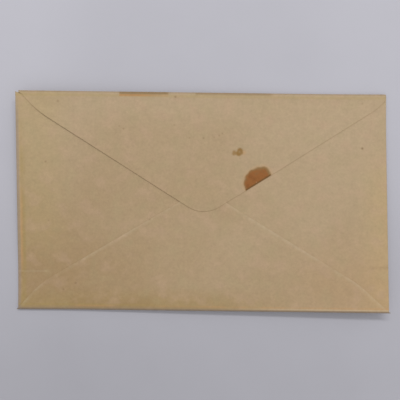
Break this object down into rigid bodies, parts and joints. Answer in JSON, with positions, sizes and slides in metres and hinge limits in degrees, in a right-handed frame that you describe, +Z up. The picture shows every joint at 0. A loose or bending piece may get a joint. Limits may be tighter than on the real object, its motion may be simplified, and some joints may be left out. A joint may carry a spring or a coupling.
{
  "type": "paper envelope",
  "caption": "Closed commercial envelope of folded buff paper with a pointed top flap over diagonal seams, gently bent about its diagonal, aged and stained.",
  "frame": {"origin": "on the surface that the envelope lies on, under the middle of its outline", "axes": "+X along the long side, +Y towards the fold of the top flap, +Z up, out of the flap side"},
  "size_m": [0.1524, 0.0894, 0.0049],
  "materials": {
    "paper": "matt uncoated buff writing paper, yellowed with age"
  },
  "bodies": {
    "root": {"envelope": "paper"}
  },
  "joints": []
}
